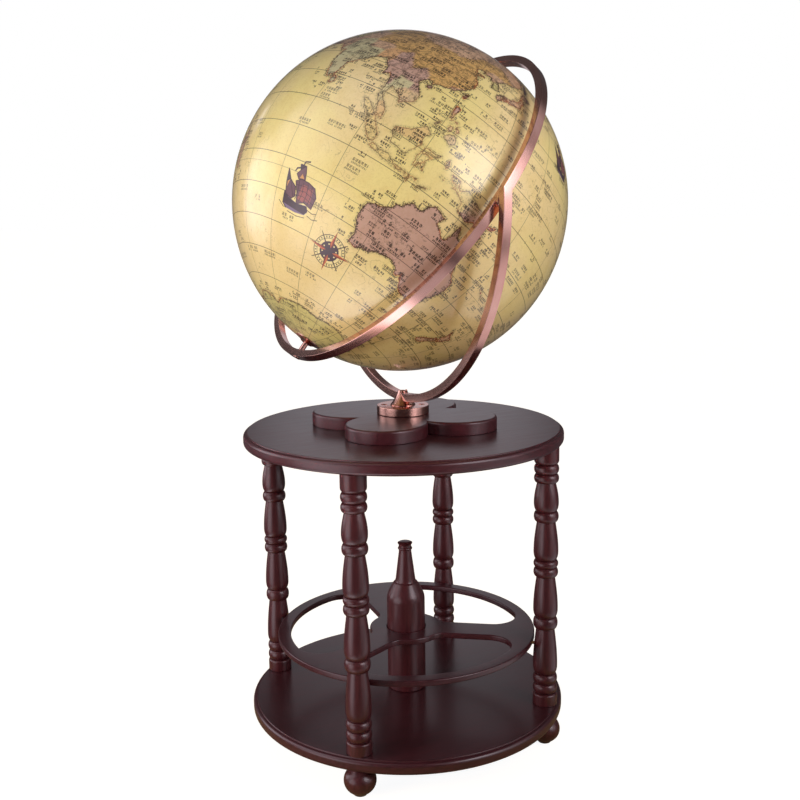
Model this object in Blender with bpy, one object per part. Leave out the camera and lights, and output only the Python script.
# Globe bar: a terrestrial globe in a tumbling meridian ring, carried by a yoke
# on a round two-tier table with a bottle shelf.
#
# Units are metres, +Z is up. The origin is on the floor, on the table's axis.
# The yoke lies in the YZ plane, and the globe's polar axis leans towards +X.

import math

import bmesh
import bpy
from mathutils import Matrix, Vector

# Clearances
touch_gap = 0.0003          # between faces that rest on each other
bore_clearance = 0.0003     # radial, between a pin or bolt and its hole
through = 0.0040            # how far a hole's cutter runs past the face it opens
bolt_end_room = 0.0020      # space past a bolt's or dowel's end in a blind hole

# Table boards
board_radius = 0.2975
board_thickness = 0.0240
lip_inset = 0.0070          # how far the raised top face stays inside the edge
lip_step = 0.0026           # how deep the step below that face is
nosing = 0.0066             # height and depth of the rounding above and below the edge

# Feet
foot_height = 0.0535
foot_radius = 0.0285
foot_collar_radius = 0.0180
foot_collar_height = 0.0040
foot_pad_radius = 0.0110    # flat that stands on the floor

# Spindles
spindle_set_in = 0.0272     # from the boards' edge to the spindles' middles
spindle_length = 0.4920
spindle_radius = 0.0225
spindle_round_off = 0.0024  # depth of the rounding on the plain lengths
vase_foot_height = 0.0153   # how high above its foot a vase is fullest
spindle_neck_radius = 0.0168
bead_groove_radius = 0.0176
tenon_radius = 0.0100
tenon_length = 0.0120
leg_bolt_radius = 0.0040
leg_bolt_in_foot = 0.0300
leg_bolt_in_spindle = 0.0450

# Bottle shelf
shelf_rise = 0.1215         # from the bottom board's top to the shelf's top
shelf_to_spindle = 0.0018   # air between the shelf's rim and a spindle's belly
shelf_thickness = 0.0110
shelf_rim_width = 0.0240
shelf_arm_half_width = 0.0280
shelf_hub_width = 0.0335    # round the centre post
shelf_corner_radius = 0.0450
shelf_hub_fillet = 0.0300
shelf_arm_count = 3
shelf_first_arm_deg = -36.0
shelf_dowel_radius = 0.0030
shelf_dowel_in_rim = 0.0140
shelf_dowel_in_spindle = 0.0120

# Centre post, turned like a bottle, in stacked lengths
post_body_radius = 0.0365
post_body_height = 0.1800
post_shoulder_height = 0.0345
post_shoulder_radius = 0.0195
post_taper_height = 0.0570
post_neck_radius = 0.0120
post_neck_height = 0.0200
post_collar_from_top = 0.0140
post_cap_radius = 0.0142
post_cap_height = 0.0050
post_foot_bevel = 0.0018
post_screw_radius = 0.0030
post_screw_in_post = 0.0350

# Plinth on the top board
plinth_thickness = 0.0240
plinth_lobe_half_width = 0.0735
plinth_lobe_overlap = 0.0046    # how far that passes the line shared with the next lobe
plinth_lobe_length = 0.0800     # from a lobe's widest place to its tip
plinth_edge_round = 0.0045
plinth_screw_radius = 0.0022
plinth_screw_in_plinth = 0.0140
plinth_screw_offset = 0.0750

# Screw heads, shared by every countersunk screw
screw_head_ratio = 1.9      # head radius over shank radius

# Base metalwork
saddle_base_radius = 0.0232
saddle_height = 0.0275
saddle_floor_height = 0.0078    # of the slot that holds the yoke
saddle_top_radius = 0.0098
saddle_top_round = 0.0008
saddle_flare_power = 1.4
flange_thickness = 0.0155
flange_round = 0.0012
flange_screw_from_saddle = 0.0118
flange_screw_from_edge = 0.0135
flange_screw_count = 4
flange_screw_phase_deg = 61.0
flange_screw_radius = 0.0026
flange_screw_in_plinth = 0.0135
yoke_bolt_radius = 0.0030
yoke_bolt_in_plinth = 0.0060
yoke_bolt_head_lip = 0.0032     # how far the head stands out past the shank
yoke_bolt_head_height = 0.0026
yoke_washer_lip = 0.0013        # how far the washer stands out past the head
yoke_washer_thickness = 0.0010

# Globe, its ring and its yoke
globe_radius = 0.3000
globe_wall = 0.0030
polar_tilt_deg = 38.6
globe_to_ring = 0.0220      # air between the globe and its ring
ring_radial = 0.0135
ring_width = 0.0160
yoke_radial = 0.0150
yoke_width = 0.0150
yoke_tip_rise_deg = 3.3     # how far the yoke's tips run past the pivots
tumble_clearance = 0.0021   # between the pole pin's head and the yoke bolt's head as they pass
pivot_pin_radius = 0.0040
pivot_spacer_wall = 0.0050
spacer_end_room = 0.0007    # the spacer's flat end clears the curved bar's edges
pole_pin_radius = 0.0050
pole_pin_depth = 0.0380     # how far the pin reaches into the globe
pole_pin_head_lip = 0.0020
pole_pin_head_height = 0.0009
pole_cap_radius = 0.0240
pole_cap_rise = 0.0055
pole_cap_land = 0.0040      # width of the flat round the cap's hole
pole_cap_edge = 0.0012
axle_tube_radius = 0.0125
axle_tube_wall = 0.0025
pin_past_bushing = 0.0040
equator_band_height = 0.0300
equator_band_wall = 0.0030

# Facets
globe_sides = 40
globe_rows = 8
inner_rows = 5
board_sides = 44
shelf_sides = 52
spindle_sides = 12
saddle_sides = 20
post_sides = 16
foot_sides = 14
flange_sides = 24
small_sides = 12
washer_sides = 16
cap_sides = 20
ring_segments = 72
yoke_segments = 44
lobe_points = 10
corner_points = 7
rim_points = 10
fillet_points = 4
round_segments = 2
smooth_below_deg = 32.0
merge_distance = 0.000002

# Places that follow from the sizes
spindle_angles_deg = {
    "front_left": -135.0,
    "front_right": -45.0,
    "back_right": 45.0,
    "back_left": 135.0,
}
spindle_circle_radius = board_radius - spindle_set_in
shelf_radius = spindle_circle_radius - spindle_radius - shelf_to_spindle
shelf_hub_radius = post_body_radius + shelf_hub_width
plinth_lobe_offset = (plinth_lobe_half_width - plinth_lobe_overlap) * math.sqrt(2.0)
flange_screw_circle_radius = saddle_base_radius + flange_screw_from_saddle
flange_radius = flange_screw_circle_radius + flange_screw_from_edge
bottom_board_top = foot_height + board_thickness
shelf_top_height = bottom_board_top + shelf_rise
top_board_underside = bottom_board_top + spindle_length
top_board_top = top_board_underside + board_thickness
plinth_base = top_board_top + touch_gap
plinth_top = plinth_base + plinth_thickness
flange_base = plinth_top + touch_gap
flange_top = flange_base + flange_thickness
flange_screw_length = flange_thickness + flange_screw_in_plinth
saddle_base = flange_top + touch_gap
saddle_top = saddle_base + saddle_height
yoke_bolt_end = plinth_top - yoke_bolt_in_plinth
yoke_bolt_head_radius = yoke_bolt_radius + yoke_bolt_head_lip
yoke_washer_radius = yoke_bolt_head_radius + yoke_washer_lip
ring_inner_radius = globe_radius + globe_to_ring
ring_outer_radius = ring_inner_radius + ring_radial
pole_pin_head_top = ring_outer_radius + touch_gap + pole_pin_head_height
yoke_bolt_stack = touch_gap + yoke_washer_thickness + touch_gap + yoke_bolt_head_height
yoke_inner_radius = pole_pin_head_top + tumble_clearance + yoke_bolt_stack
yoke_outer_radius = yoke_inner_radius + yoke_radial
globe_height = saddle_base + saddle_floor_height + touch_gap + yoke_outer_radius
polar_tilt = math.radians(polar_tilt_deg)
at_origin = (0.0, 0.0, 0.0)
globe_center = (0.0, 0.0, globe_height)
no_turn = (0.0, 0.0, 0.0)
up = (0.0, 0.0, 1.0)
leaned = (0.0, polar_tilt, 0.0)
upside_down = Matrix.Rotation(math.pi, 4, "X")


# Materials

def make_material(name, color, roughness, metallic):
    material = bpy.data.materials.new(name)
    material.use_nodes = True
    shader = material.node_tree.nodes["Principled BSDF"]
    shader.inputs["Base Color"].default_value = (*color, 1.0)
    shader.inputs["Roughness"].default_value = roughness
    shader.inputs["Metallic"].default_value = metallic
    material.diffuse_color = (*color, 1.0)
    return material


# Scene helpers

def clear_scene():
    for item in list(bpy.data.objects):
        bpy.data.objects.remove(item, do_unlink=True)


def make_empty(name, location, turn=no_turn, parent=None):
    empty = bpy.data.objects.new(name, None)
    empty.location = location
    empty.rotation_euler = turn
    empty.parent = parent
    bpy.context.scene.collection.objects.link(empty)
    return empty


def make_object(name, mesh_builder, material, location=at_origin, turn=no_turn, parent=None):
    mesh = bpy.data.meshes.new(name)
    bmesh.ops.recalc_face_normals(mesh_builder, faces=mesh_builder.faces)
    mesh_builder.to_mesh(mesh)
    mesh_builder.free()
    mesh.shade_smooth()
    mesh.set_sharp_from_angle(angle=math.radians(smooth_below_deg))
    item = bpy.data.objects.new(name, mesh)
    item.location = location
    item.rotation_euler = turn
    item.parent = parent
    if material is not None:
        item.data.materials.append(material)
    bpy.context.scene.collection.objects.link(item)
    return item


def make_cutter(name, mesh_builder, location=at_origin, turn=no_turn, parent=None):
    cutter = make_object(name, mesh_builder, None, location, turn, parent)
    cutter.hide_render = True
    cutter.display_type = "WIRE"
    return cutter


def cut(item, cutter):
    modifier = item.modifiers.new("Cut by " + cutter.name, "BOOLEAN")
    modifier.operation = "DIFFERENCE"
    modifier.object = cutter
    modifier.solver = "EXACT"


def polar(radius, angle_deg, height=0.0):
    angle = math.radians(angle_deg)
    return Vector((radius * math.cos(angle), radius * math.sin(angle), height))


# Shape helpers

def bore_for(radius, sides):
    """Corner radius of a many-sided hole whose flats clear a round pin of this radius."""
    return (radius + bore_clearance) / math.cos(math.pi / sides)


def turned(profile, sides, closed=False, builder=None, matrix=None):
    """Spins a profile of (radius, height) points once round Z."""
    shape = bmesh.new()
    points = [shape.verts.new((radius, 0.0, height)) for radius, height in profile]
    edges = [shape.edges.new(pair) for pair in zip(points, points[1:])]
    if closed:
        edges.append(shape.edges.new((points[-1], points[0])))
    bmesh.ops.spin(
        shape, geom=points + edges, axis=up, cent=at_origin,
        angle=2.0 * math.pi, steps=sides, use_merge=True,
    )
    bmesh.ops.remove_doubles(shape, verts=shape.verts, dist=merge_distance)
    if matrix is not None:
        shape.transform(matrix)
    if builder is None:
        return shape
    return add_to(builder, shape)


def add_to(builder, shape):
    """Moves one shape's mesh into another builder, and returns that builder."""
    bmesh.ops.recalc_face_normals(shape, faces=shape.faces)
    holder = bpy.data.meshes.new("holder")
    shape.to_mesh(holder)
    shape.free()
    builder.from_mesh(holder)
    bpy.data.meshes.remove(holder)
    return builder


def cylinder(radius, low, high, sides=small_sides, builder=None, matrix=None):
    return turned([(0.0, high), (radius, high), (radius, low), (0.0, low)], sides, False, builder, matrix)


def tube(inner, outer, low, high, sides=small_sides):
    return turned([(inner, high), (outer, high), (outer, low), (inner, low)], sides, True)


def prism(outline, low, high):
    """Raises a flat outline of (x, y) points from low to high."""
    shape = bmesh.new()
    face = shape.faces.new([shape.verts.new((x, y, low)) for x, y in outline])
    raised = bmesh.ops.extrude_face_region(shape, geom=[face])
    top = [item for item in raised["geom"] if isinstance(item, bmesh.types.BMVert)]
    bmesh.ops.translate(shape, verts=top, vec=(0.0, 0.0, high - low))
    return shape


def arc_points(center, radius, start_deg, end_deg, count):
    """Points along an arc, both ends included."""
    points = []
    for index in range(count):
        angle = math.radians(start_deg + (end_deg - start_deg) * index / (count - 1))
        points.append((center[0] + radius * math.cos(angle), center[1] + radius * math.sin(angle)))
    return points


def bar_section(inner, outer, width):
    """Square section of a bent bar, as (radius, height) points, outer side first."""
    half = width / 2.0
    return [(outer, half), (outer, -half), (inner, -half), (inner, half)]


def countersunk_screw(shank_radius, length):
    """A screw with its head's flat face at height 0 and its shank running down."""
    head_radius = shank_radius * screw_head_ratio
    head_depth = head_radius - shank_radius
    profile = [
        (0.0, 0.0), (head_radius, 0.0), (shank_radius, -head_depth),
        (shank_radius, shank_radius - length), (0.0, -length),
    ]
    return turned(profile, small_sides)


def countersunk_hole(shank_radius, length, builder, matrix):
    """The hole of such a screw, with its clearance all round."""
    radius = bore_for(shank_radius, small_sides)
    head_radius = bore_for(shank_radius * screw_head_ratio, small_sides)
    profile = [
        (0.0, through), (head_radius, through), (head_radius, -touch_gap),
        (radius, radius - head_radius - touch_gap), (radius, -length), (0.0, -length),
    ]
    return turned(profile, small_sides, False, builder, matrix)


# Table

def board_profile(low):
    """Half section of a board, from the middle of its top face to that of its underside."""
    high = low + board_thickness
    edge = board_radius
    return [
        (0.0, high),
        (edge - lip_inset, high),
        (edge - lip_inset, high - lip_step),
        (edge - nosing * 0.35, high - lip_step - nosing * 0.20),
        (edge, high - lip_step - nosing),
        (edge, low + nosing),
        (edge - nosing * 0.30, low + nosing * 0.30),
        (edge - nosing, low),
        (0.0, low),
    ]


def leg_bores():
    """Holes in the bottom board for the hanger bolts, with the post's screw in the middle."""
    shape = bmesh.new()
    reach = board_thickness
    for angle in spindle_angles_deg.values():
        place = Matrix.Translation(polar(spindle_circle_radius, angle))
        cylinder(bore_for(leg_bolt_radius, small_sides), foot_height - reach, bottom_board_top + reach,
                 small_sides, shape, place)
    place = Matrix.Translation((0.0, 0.0, foot_height + touch_gap)) @ upside_down
    countersunk_hole(post_screw_radius, board_thickness * 2.0, shape, place)
    return make_cutter("guide_leg_bores", shape)


def tenon_sockets():
    """Blind holes under the top board for the spindles' tenons, and its plinth screw holes."""
    shape = bmesh.new()
    for angle in spindle_angles_deg.values():
        place = Matrix.Translation(polar(spindle_circle_radius, angle))
        cylinder(bore_for(tenon_radius, small_sides), top_board_underside - board_thickness,
                 top_board_underside + tenon_length + touch_gap, small_sides, shape, place)
    for side in (-1.0, 1.0):
        spot = (side * plinth_screw_offset, 0.0, top_board_underside + touch_gap)
        place = Matrix.Translation(spot) @ upside_down
        countersunk_hole(plinth_screw_radius, board_thickness * 2.0, shape, place)
    return make_cutter("guide_tenon_sockets", shape)


def make_boards(wood):
    bottom = make_object("bottom_board", turned(board_profile(foot_height), board_sides), wood)
    cut(bottom, leg_bores())
    top = make_object("top_board", turned(board_profile(top_board_underside), board_sides), wood)
    cut(top, tenon_sockets())


def make_foot(name, angle, wood):
    bore = bore_for(leg_bolt_radius, foot_sides)
    top = foot_height - touch_gap
    bore_floor = top - leg_bolt_in_foot - bolt_end_room
    ball_middle = foot_height / 2.0
    ball_half_height = foot_radius * 0.92
    profile = [(0.0, bore_floor), (bore, bore_floor), (bore, top)]
    profile += [(foot_collar_radius, top), (foot_collar_radius, foot_height - foot_collar_height)]
    for turn_deg in (36.0, 16.0, -4.0, -24.0, -46.0):
        turn = math.radians(turn_deg)
        profile.append((foot_radius * math.cos(turn), ball_middle + ball_half_height * math.sin(turn)))
    profile += [(foot_pad_radius, 0.0), (0.0, 0.0)]
    make_object(name, turned(profile, foot_sides), wood, polar(spindle_circle_radius, angle))


def bead(low, high):
    """One turned bead: the groove above it, then its belly."""
    flank = (high - low) * 0.32
    return [(bead_groove_radius, high), (spindle_radius, high - flank), (spindle_radius, low + flank)]


def vase(low, high):
    """One turned vase: slim at its top, fullest near its foot."""
    length = high - low
    swell = spindle_radius - spindle_neck_radius
    return [
        (spindle_neck_radius, high),
        (spindle_neck_radius + swell * 0.50, high - length * 0.24),
        (spindle_neck_radius + swell * 0.90, low + length * 0.42),
        (spindle_radius, low + vase_foot_height),
        (spindle_radius - swell * 0.22, low + vase_foot_height * 0.41),
    ]


# Turned features of a spindle, from its top down: the kind and the length of each.
spindle_features = [
    ("plain top", 0.0323),
    ("bead", 0.0180),
    ("bead", 0.0168),
    ("vase", 0.0530),
    ("bead", 0.0198),
    ("vase", 0.0717),
    ("bead", 0.0145),
    ("bead", 0.0180),
    ("vase", 0.0773),
    ("bead", 0.0225),
    ("vase", 0.0873),
    ("bead", 0.0188),
    ("bead", 0.0189),
    ("plain foot", 0.0231),
]


def spindle_profile():
    """Half section of a spindle from its tenon's top to the bolt hole in its foot."""
    end = spindle_length - touch_gap
    scale = spindle_length / sum(length for kind, length in spindle_features)
    profile = [(0.0, end + tenon_length), (tenon_radius, end + tenon_length), (tenon_radius, end)]
    height = end
    for kind, length in spindle_features:
        low = height - length * scale
        if kind == "bead":
            profile += bead(low, height)
        elif kind == "vase":
            profile += vase(low, height)
        elif kind == "plain top":
            profile += [(spindle_radius, height), (spindle_radius, low + spindle_round_off * 3.0)]
            profile += [(spindle_radius - spindle_round_off, low + spindle_round_off)]
        else:
            profile += [(bead_groove_radius, height), (spindle_radius, height - spindle_round_off * 1.7)]
            profile += [(spindle_radius, touch_gap)]
        height = low
    bore = bore_for(leg_bolt_radius, spindle_sides)
    bore_end = leg_bolt_in_spindle + bolt_end_room
    profile += [(bore, touch_gap), (bore, bore_end), (0.0, bore_end)]
    return profile


def dowel_bores():
    """Radial holes that run from the shelf's rim into each spindle."""
    shape = bmesh.new()
    middle = shelf_top_height - shelf_thickness / 2.0
    inner = shelf_radius - shelf_dowel_in_rim - bolt_end_room
    outer = spindle_circle_radius - spindle_radius + shelf_dowel_in_spindle + bolt_end_room
    for angle in spindle_angles_deg.values():
        along = Matrix.Rotation(math.radians(angle), 4, "Z") @ Matrix.Rotation(math.pi / 2.0, 4, "Y")
        place = Matrix.Translation((0.0, 0.0, middle)) @ along
        cylinder(bore_for(shelf_dowel_radius, small_sides), inner, outer, small_sides, shape, place)
    return make_cutter("guide_dowel_bores", shape)


def make_legs(wood, steel, dowel_wood, bores):
    profile = spindle_profile()
    inner = shelf_radius - shelf_dowel_in_rim
    outer = spindle_circle_radius - spindle_radius + shelf_dowel_in_spindle
    for side, angle in spindle_angles_deg.items():
        turn = math.radians(angle)
        base = polar(spindle_circle_radius, angle, bottom_board_top)
        spindle = turned(profile, spindle_sides)
        spindle = make_object("spindle_" + side, spindle, wood, base, (0.0, 0.0, turn))
        cut(spindle, bores)
        make_foot("foot_" + side, angle, wood)
        low = foot_height - touch_gap - leg_bolt_in_foot
        high = bottom_board_top + leg_bolt_in_spindle
        make_object("leg_bolt_" + side, cylinder(leg_bolt_radius, low, high), steel,
                    polar(spindle_circle_radius, angle))
        dowel = cylinder(shelf_dowel_radius, inner, outer)
        make_object("shelf_dowel_" + side, dowel, dowel_wood,
                    (0.0, 0.0, shelf_top_height - shelf_thickness / 2.0), (0.0, math.pi / 2.0, turn))


# Bottle shelf and centre post

def opening_outline():
    """Outline of one bottle opening, about +X, from one arm to the next.

    Its ends are rounded by circles that touch the arm's side and the rim, and its
    inner corners by circles that touch the arm's side and the hub.
    """
    half_angle = 180.0 / shelf_arm_count
    rim = shelf_radius - shelf_rim_width
    side = shelf_arm_half_width

    def from_arm(along, away):
        """A place by its distance along the lower arm and away from the arm's middle."""
        turn = math.radians(-half_angle)
        return (
            along * math.cos(turn) - away * math.sin(turn),
            along * math.sin(turn) + away * math.cos(turn),
        )

    corner = shelf_corner_radius
    reach = math.sqrt((rim - corner) ** 2 - (side + corner) ** 2)
    corner_center = from_arm(reach, side + corner)
    corner_end = math.degrees(math.atan2(corner_center[1], corner_center[0]))
    fillet = shelf_hub_fillet
    hub_reach = math.sqrt((shelf_hub_radius + fillet) ** 2 - (side + fillet) ** 2)
    fillet_center = from_arm(hub_reach, side + fillet)
    fillet_start = math.degrees(math.atan2(fillet_center[1], fillet_center[0])) + 180.0
    square_to_arm = -half_angle - 90.0
    lower = arc_points(fillet_center, fillet, fillet_start, square_to_arm + 360.0, fillet_points)
    lower += arc_points(corner_center, corner, square_to_arm, corner_end, corner_points)
    rim_arc = arc_points((0.0, 0.0), rim, corner_end, -corner_end, rim_points)[1:-1]
    upper = [(x, -y) for x, y in reversed(lower)]
    hub_side = fillet_start - 180.0
    hub_arc = arc_points((0.0, 0.0), shelf_hub_radius, -hub_side, hub_side, fillet_points)[1:-1]
    return lower + rim_arc + upper + hub_arc


def make_shelf(wood, bores):
    low = shelf_top_height - shelf_thickness
    outline = arc_points((0.0, 0.0), shelf_radius, 0.0, 360.0, shelf_sides + 1)[:-1]
    shelf = make_object("bottle_shelf", prism(outline, low, shelf_top_height), wood)
    openings = cylinder(bore_for(post_body_radius, post_sides), low - shelf_thickness,
                        shelf_top_height + shelf_thickness, post_sides)
    outline = opening_outline()
    for index in range(shelf_arm_count):
        middle = shelf_first_arm_deg + 360.0 / shelf_arm_count * (index + 0.5)
        window = prism(outline, low - shelf_thickness, shelf_top_height + shelf_thickness)
        window.transform(Matrix.Rotation(math.radians(middle), 4, "Z"))
        add_to(openings, window)
    cut(shelf, make_cutter("guide_shelf_openings", openings))
    cut(shelf, bores)


def make_post(wood, steel):
    bore = bore_for(post_screw_radius, post_sides)
    bore_end = post_screw_in_post + bolt_end_room
    shoulder_top = post_body_height + post_shoulder_height
    taper_top = shoulder_top + post_taper_height
    top = taper_top + post_neck_height
    collar = top - post_collar_from_top
    radii = (post_body_radius * 0.97, post_body_radius * 0.87, post_shoulder_radius * 1.20)
    profile = [
        (0.0, top), (post_cap_radius * 0.62, top - post_cap_height * 0.10),
        (post_cap_radius, top - post_cap_height * 0.56), (post_cap_radius * 0.94, top - post_cap_height),
        (post_neck_radius, top - post_cap_height * 1.44),
        (post_neck_radius, collar + post_cap_height * 0.44),
        (post_cap_radius * 0.97, collar), (post_neck_radius, collar - post_cap_height * 0.52),
        (post_neck_radius, taper_top),
        (post_shoulder_radius * 0.82, shoulder_top + post_taper_height * 0.45),
        (post_shoulder_radius, shoulder_top),
        (radii[2], shoulder_top - post_shoulder_height * 0.14),
        (radii[1], post_body_height + post_shoulder_height * 0.42),
        (radii[0], post_body_height + post_shoulder_height * 0.16),
        (post_body_radius, post_body_height),
        (post_body_radius, touch_gap + post_foot_bevel), (post_body_radius - post_foot_bevel, touch_gap),
        (bore, touch_gap), (bore, bore_end), (0.0, bore_end),
    ]
    make_object("centre_post", turned(profile, post_sides), wood, (0.0, 0.0, bottom_board_top))
    length = board_thickness + post_screw_in_post
    make_object("post_screw", countersunk_screw(post_screw_radius, length), steel,
                (0.0, 0.0, foot_height + touch_gap), (math.pi, 0.0, 0.0))


# Plinth and base metalwork

def plinth_outline():
    """Four lobes on the spindles' diagonals, each part of an ellipse between two notches."""
    length, half_width = plinth_lobe_length, plinth_lobe_half_width
    squares = 1.0 / length ** 2 + 1.0 / half_width ** 2
    lean = plinth_lobe_offset / length ** 2
    rest = (plinth_lobe_offset / length) ** 2 - 1.0
    notch = (lean + math.sqrt(lean ** 2 - squares * rest)) / squares
    sweep = math.degrees(math.atan2(notch / half_width, (notch - plinth_lobe_offset) / length))
    lobe = arc_points((0.0, 0.0), 1.0, -sweep, sweep, lobe_points)[:-1]
    outline = []
    for angle in spindle_angles_deg.values():
        turn = Matrix.Rotation(math.radians(angle), 2)
        for along, across in lobe:
            spot = turn @ Vector((plinth_lobe_offset + along * length, across * half_width))
            outline.append((spot.x, spot.y))
    return outline


def flange_screw_places():
    for index in range(flange_screw_count):
        yield index + 1, 360.0 / flange_screw_count * index + flange_screw_phase_deg


def make_plinth(wood, steel):
    shape = prism(plinth_outline(), plinth_base, plinth_top)
    rim = [edge for edge in shape.edges if all(vert.co.z > plinth_top - touch_gap for vert in edge.verts)]
    bmesh.ops.bevel(shape, geom=rim, offset=plinth_edge_round, segments=round_segments, profile=0.5,
                    affect="EDGES", material=-1)
    plinth = make_object("clover_plinth", shape, wood)
    bolt_bore = bore_for(yoke_bolt_radius, small_sides)
    holes = cylinder(bolt_bore, yoke_bolt_end - bolt_end_room, plinth_top + through)
    for number, angle in flange_screw_places():
        place = Matrix.Translation(polar(flange_screw_circle_radius, angle, flange_top))
        cylinder(bore_for(flange_screw_radius, small_sides), -flange_screw_length - bolt_end_room, 0.0,
                 small_sides, holes, place)
    for side in (-1.0, 1.0):
        place = Matrix.Translation((side * plinth_screw_offset, 0.0, plinth_base))
        cylinder(bore_for(plinth_screw_radius, small_sides), -plinth_screw_in_plinth,
                 plinth_screw_in_plinth + bolt_end_room, small_sides, holes, place)
    cut(plinth, make_cutter("guide_plinth_bores", holes))
    length = board_thickness + plinth_screw_in_plinth
    for side, name in ((-1.0, "plinth_screw_left"), (1.0, "plinth_screw_right")):
        spot = (side * plinth_screw_offset, 0.0, top_board_underside + touch_gap)
        make_object(name, countersunk_screw(plinth_screw_radius, length), steel, spot, (math.pi, 0.0, 0.0))


def make_flange(copper):
    inside_edge = flange_radius - flange_round
    profile = [
        (0.0, flange_top), (inside_edge, flange_top), (flange_radius, flange_top - flange_round),
        (flange_radius, flange_base + flange_round), (inside_edge, flange_base), (0.0, flange_base),
    ]
    flange = make_object("base_flange", turned(profile, flange_sides), copper)
    holes = cylinder(bore_for(yoke_bolt_radius, small_sides), flange_base - through, flange_top + through)
    for number, angle in flange_screw_places():
        place = Matrix.Translation(polar(flange_screw_circle_radius, angle, flange_top))
        countersunk_hole(flange_screw_radius, flange_thickness + through, holes, place)
        spot = polar(flange_screw_circle_radius, angle, flange_top - touch_gap)
        screw = countersunk_screw(flange_screw_radius, flange_screw_length)
        make_object("flange_screw_%d" % number, screw, copper, spot)
    cut(flange, make_cutter("guide_flange_bores", holes))


def make_saddle(copper):
    """A flared cone, slotted across its top for the yoke's bar."""
    flare = saddle_base_radius - saddle_top_radius
    profile = [
        (0.0, saddle_top), (saddle_top_radius - saddle_top_round, saddle_top),
        (saddle_top_radius, saddle_top - saddle_top_round),
    ]
    for share in (0.72, 0.46, 0.24, 0.08):
        radius = saddle_top_radius + flare * (1.0 - share) ** saddle_flare_power
        profile.append((radius, saddle_base + saddle_height * share))
    profile += [(saddle_base_radius, saddle_base), (0.0, saddle_base)]
    saddle = make_object("saddle_cone", turned(profile, saddle_sides), copper)
    slot = bmesh.new()
    bmesh.ops.create_cube(slot, size=1.0)
    floor = saddle_base + saddle_floor_height
    width = yoke_width + 2.0 * touch_gap
    slot.transform(
        Matrix.Translation((0.0, 0.0, floor + saddle_height / 2.0))
        @ Matrix.Diagonal((width, saddle_base_radius * 4.0, saddle_height, 1.0))
    )
    cut(saddle, make_cutter("guide_saddle_slot", slot))
    bore = cylinder(bore_for(yoke_bolt_radius, small_sides), saddle_base - through, saddle_top + through)
    cut(saddle, make_cutter("guide_saddle_bore", bore))


# Yoke and its fasteners

def make_yoke(copper):
    section = bar_section(yoke_inner_radius, yoke_outer_radius, yoke_width)
    shape = bmesh.new()
    ring = [shape.verts.new((radius, 0.0, height)) for radius, height in section]
    face = shape.faces.new(ring)
    sweep = math.pi + 2.0 * math.radians(yoke_tip_rise_deg)
    bmesh.ops.spin(shape, geom=[face], axis=up, cent=at_origin, angle=sweep, steps=yoke_segments)
    bmesh.ops.remove_doubles(shape, verts=shape.verts, dist=merge_distance)
    # The arc is spun about Z, then stood up in the YZ plane with its middle at the bottom.
    stand_up = (
        Matrix.Rotation(math.pi / 2.0, 4, "Y")
        @ Matrix.Rotation(-math.radians(yoke_tip_rise_deg) - math.pi / 2.0, 4, "Z")
    )
    shape.transform(stand_up)
    yoke = make_object("yoke", shape, copper, globe_center)
    bolt_hole = cylinder(bore_for(yoke_bolt_radius, small_sides), -yoke_outer_radius - through,
                         -yoke_inner_radius + through)
    cut(yoke, make_cutter("guide_yoke_bolt_hole", bolt_hole, globe_center))
    along_y = Matrix.Rotation(math.pi / 2.0, 4, "X")
    span = yoke_outer_radius + through
    pivots = cylinder(bore_for(pivot_pin_radius, small_sides), -span, span, small_sides, None, along_y)
    cut(yoke, make_cutter("guide_yoke_pivots", pivots, globe_center))


def make_yoke_bolt(copper):
    washer_low = globe_height - yoke_inner_radius + touch_gap
    washer_high = washer_low + yoke_washer_thickness
    hole = bore_for(yoke_bolt_radius, washer_sides)
    washer = tube(hole, yoke_washer_radius, washer_low, washer_high, washer_sides)
    make_object("yoke_washer", washer, copper)
    head_low = washer_high + touch_gap
    head_high = head_low + yoke_bolt_head_height
    profile = [
        (0.0, head_high), (yoke_bolt_head_radius * 0.60, head_high - yoke_bolt_head_height * 0.12),
        (yoke_bolt_head_radius, head_low + yoke_bolt_head_height * 0.38),
        (yoke_bolt_head_radius, head_low),
        (yoke_bolt_radius, head_low), (yoke_bolt_radius, yoke_bolt_end), (0.0, yoke_bolt_end),
    ]
    make_object("yoke_bolt", turned(profile, small_sides), copper)


def make_pivots(copper):
    for side, sign in (("front", -1.0), ("back", 1.0)):
        turn = (-sign * math.pi / 2.0, 0.0, 0.0)
        pin = cylinder(pivot_pin_radius, ring_inner_radius + touch_gap, yoke_outer_radius - touch_gap)
        make_object("pivot_pin_" + side, pin, copper, globe_center, turn)
        spacer = tube(bore_for(pivot_pin_radius, washer_sides), pivot_pin_radius + pivot_spacer_wall,
                      ring_outer_radius + touch_gap, yoke_inner_radius - spacer_end_room, washer_sides)
        make_object("pivot_spacer_" + side, spacer, copper, globe_center, turn)


# Meridian ring, which tumbles about the yoke's pivots

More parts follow.
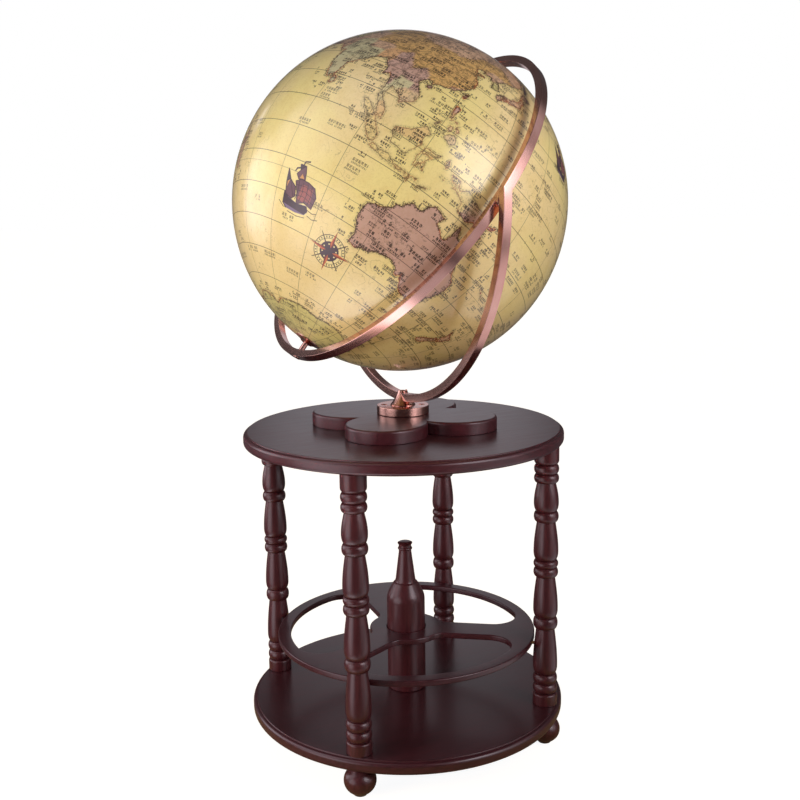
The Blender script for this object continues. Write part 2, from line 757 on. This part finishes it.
def make_meridian(copper, pivot):
    upright = Matrix.Rotation(math.pi / 2.0, 4, "Y")
    section = bar_section(ring_inner_radius, ring_outer_radius, ring_width)
    shape = turned(section, ring_segments, True, None, upright)
    ring = make_object("meridian_ring", shape, copper, at_origin, leaned, pivot)
    span = ring_outer_radius + through
    along_y = Matrix.Rotation(math.pi / 2.0, 4, "X")
    pole_holes = cylinder(bore_for(pole_pin_radius, small_sides), -span, span)
    cut(ring, make_cutter("guide_pole_holes", pole_holes, at_origin, leaned, pivot))
    pivot_bore = bore_for(pivot_pin_radius, small_sides)
    pivot_holes = cylinder(pivot_bore, -span, span, small_sides, None, along_y)
    cut(ring, make_cutter("guide_pivot_holes", pivot_holes, at_origin, leaned, pivot))
    head_radius = pole_pin_radius + pole_pin_head_lip
    head_low = ring_outer_radius + touch_gap
    profile = [
        (0.0, pole_pin_head_top), (pole_pin_radius, pole_pin_head_top - pole_pin_head_height * 0.22),
        (head_radius, head_low + pole_pin_head_height * 0.22), (head_radius, head_low),
        (pole_pin_radius, head_low),
        (pole_pin_radius, globe_radius - pole_pin_depth), (0.0, globe_radius - pole_pin_depth),
    ]
    for pole, turn in (("north", polar_tilt), ("south", polar_tilt + math.pi)):
        pin = turned(profile, small_sides)
        make_object("pole_pin_" + pole, pin, copper, at_origin, (0.0, turn, 0.0), pivot)


# Globe, which spins about its polar axis inside the ring

def shell_side(radius, hole_radius, rows):
    """(radius, height) points on one side of a shell, from its equator joint to its hole."""
    start = math.asin(touch_gap / 2.0 / radius)
    end = math.acos(hole_radius / radius)
    points = []
    for row in range(rows + 1):
        angle = start + (end - start) * row / rows
        points.append((radius * math.cos(angle), radius * math.sin(angle)))
    return points


def radius_at_height(first, second, height):
    share = (height - first[1]) / (second[1] - first[1])
    return first[0] + (second[0] - first[0]) * share


def height_at_radius(first, second, radius):
    share = (radius - first[0]) / (second[0] - first[0])
    return first[1] + (second[1] - first[1]) * share


def make_globe(paper, copper, plastic, axis):
    hole_radius = axle_tube_radius - axle_tube_wall
    outside = shell_side(globe_radius, hole_radius, globe_rows)
    inside = shell_side(globe_radius - globe_wall, hole_radius, inner_rows)
    profile = outside + inside[::-1]
    for pole, turn in (("north", 0.0), ("south", math.pi)):
        shell = turned(profile, globe_sides, True)
        make_object("globe_" + pole, shell, paper, at_origin, (turn, 0.0, 0.0), axis)
    half_band = equator_band_height / 2.0
    band_outer = radius_at_height(inside[0], inside[1], half_band) - touch_gap
    band = tube(band_outer - equator_band_wall, band_outer, -half_band, half_band, globe_sides)
    make_object("equator_band", band, plastic, at_origin, no_turn, axis)
    tube_end = height_at_radius(inside[-1], inside[-2], axle_tube_radius) - touch_gap
    bore = axle_tube_radius - axle_tube_wall
    axle = tube(bore, axle_tube_radius, -tube_end, tube_end)
    make_object("axle_tube", axle, plastic, at_origin, no_turn, axis)
    pin_bore = bore_for(pole_pin_radius, small_sides)
    bushing_radius = bore - touch_gap
    bushing_low = globe_radius - pole_pin_depth + pin_past_bushing
    bushing_high = math.sqrt(globe_radius ** 2 - bushing_radius ** 2)
    cap_floor = globe_radius + touch_gap
    cap_edge = math.sqrt((globe_radius + touch_gap) ** 2 - pole_cap_radius ** 2)
    cap_top = globe_radius + pole_cap_rise
    cap_profile = [
        (pin_bore, cap_top), (pin_bore + pole_cap_land, cap_top),
        (pole_cap_radius * 0.55, globe_radius + pole_cap_rise * 0.62),
        (pole_cap_radius, cap_edge + pole_cap_edge), (pole_cap_radius, cap_edge), (pin_bore, cap_floor),
    ]
    for pole, turn in (("north", 0.0), ("south", math.pi)):
        bushing = tube(pin_bore, bushing_radius, bushing_low, bushing_high)
        make_object("pole_bushing_" + pole, bushing, plastic, at_origin, (turn, 0.0, 0.0), axis)
        cap = turned(cap_profile, cap_sides, True)
        make_object("pole_cap_" + pole, cap, copper, at_origin, (turn, 0.0, 0.0), axis)


def main():
    clear_scene()
    wood = make_material("Mahogany lacquer", (0.100, 0.030, 0.028), 0.28, 0.0)
    dowel_wood = make_material("Bare beech", (0.560, 0.380, 0.220), 0.60, 0.0)
    copper = make_material("Brushed copper", (0.520, 0.270, 0.220), 0.30, 1.0)
    steel = make_material("Zinc steel", (0.550, 0.560, 0.580), 0.35, 1.0)
    paper = make_material("Varnished map", (0.830, 0.700, 0.370), 0.22, 0.0)
    plastic = make_material("Moulded plastic", (0.600, 0.580, 0.520), 0.50, 0.0)

    bores = dowel_bores()
    make_boards(wood)
    make_legs(wood, steel, dowel_wood, bores)
    make_shelf(wood, bores)
    make_post(wood, steel)
    make_plinth(wood, steel)
    make_flange(copper)
    make_saddle(copper)
    make_yoke(copper)
    make_yoke_bolt(copper)
    make_pivots(copper)
    pivot = make_empty("meridian_pivot", globe_center)
    make_meridian(copper, pivot)
    axis = make_empty("globe_axis", at_origin, leaned, pivot)
    make_globe(paper, copper, plastic, axis)


main()
